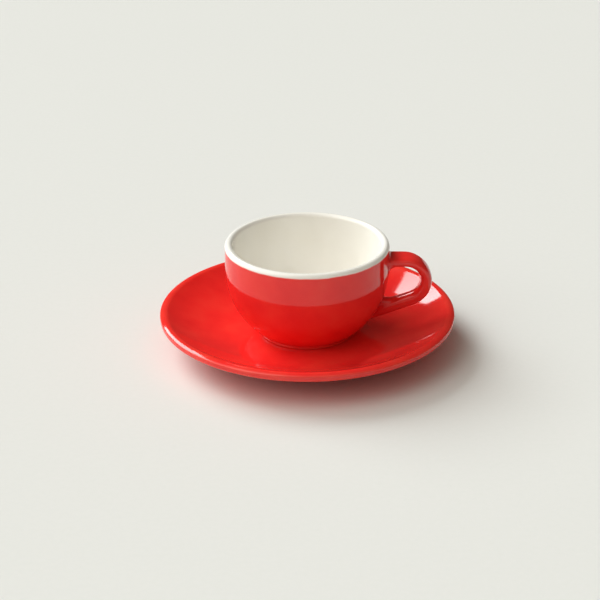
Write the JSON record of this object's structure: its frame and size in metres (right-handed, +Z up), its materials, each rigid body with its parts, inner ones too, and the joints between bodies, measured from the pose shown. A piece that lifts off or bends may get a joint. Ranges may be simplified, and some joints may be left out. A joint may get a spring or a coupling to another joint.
{
  "type": "latte bowl with saucer",
  "caption": "Wide glazed ceramic cup with a rounded belly, foot ring and looped handle, standing in the flat well of a dished saucer with a rolled lip.",
  "frame": {"origin": "on the table, at the centre of the saucer's foot ring", "axes": "+Z up, +X towards the handle, the pictured side faces -Y"},
  "size_m": [0.163, 0.163, 0.0605],
  "materials": {
    "red_glaze": "glossy",
    "red_and_cream_glaze": "glossy"
  },
  "bodies": {
    "saucer": {"saucer": "red_glaze"},
    "cup": {"cup_body": "red_and_cream_glaze", "cup_handle": "red_glaze"}
  },
  "joints": [
    {"name": "cup_lift", "type": "slide", "parent": "saucer", "child": "cup", "axis": [0, 0, 1], "range_m": [0, 0.08]}
  ]
}
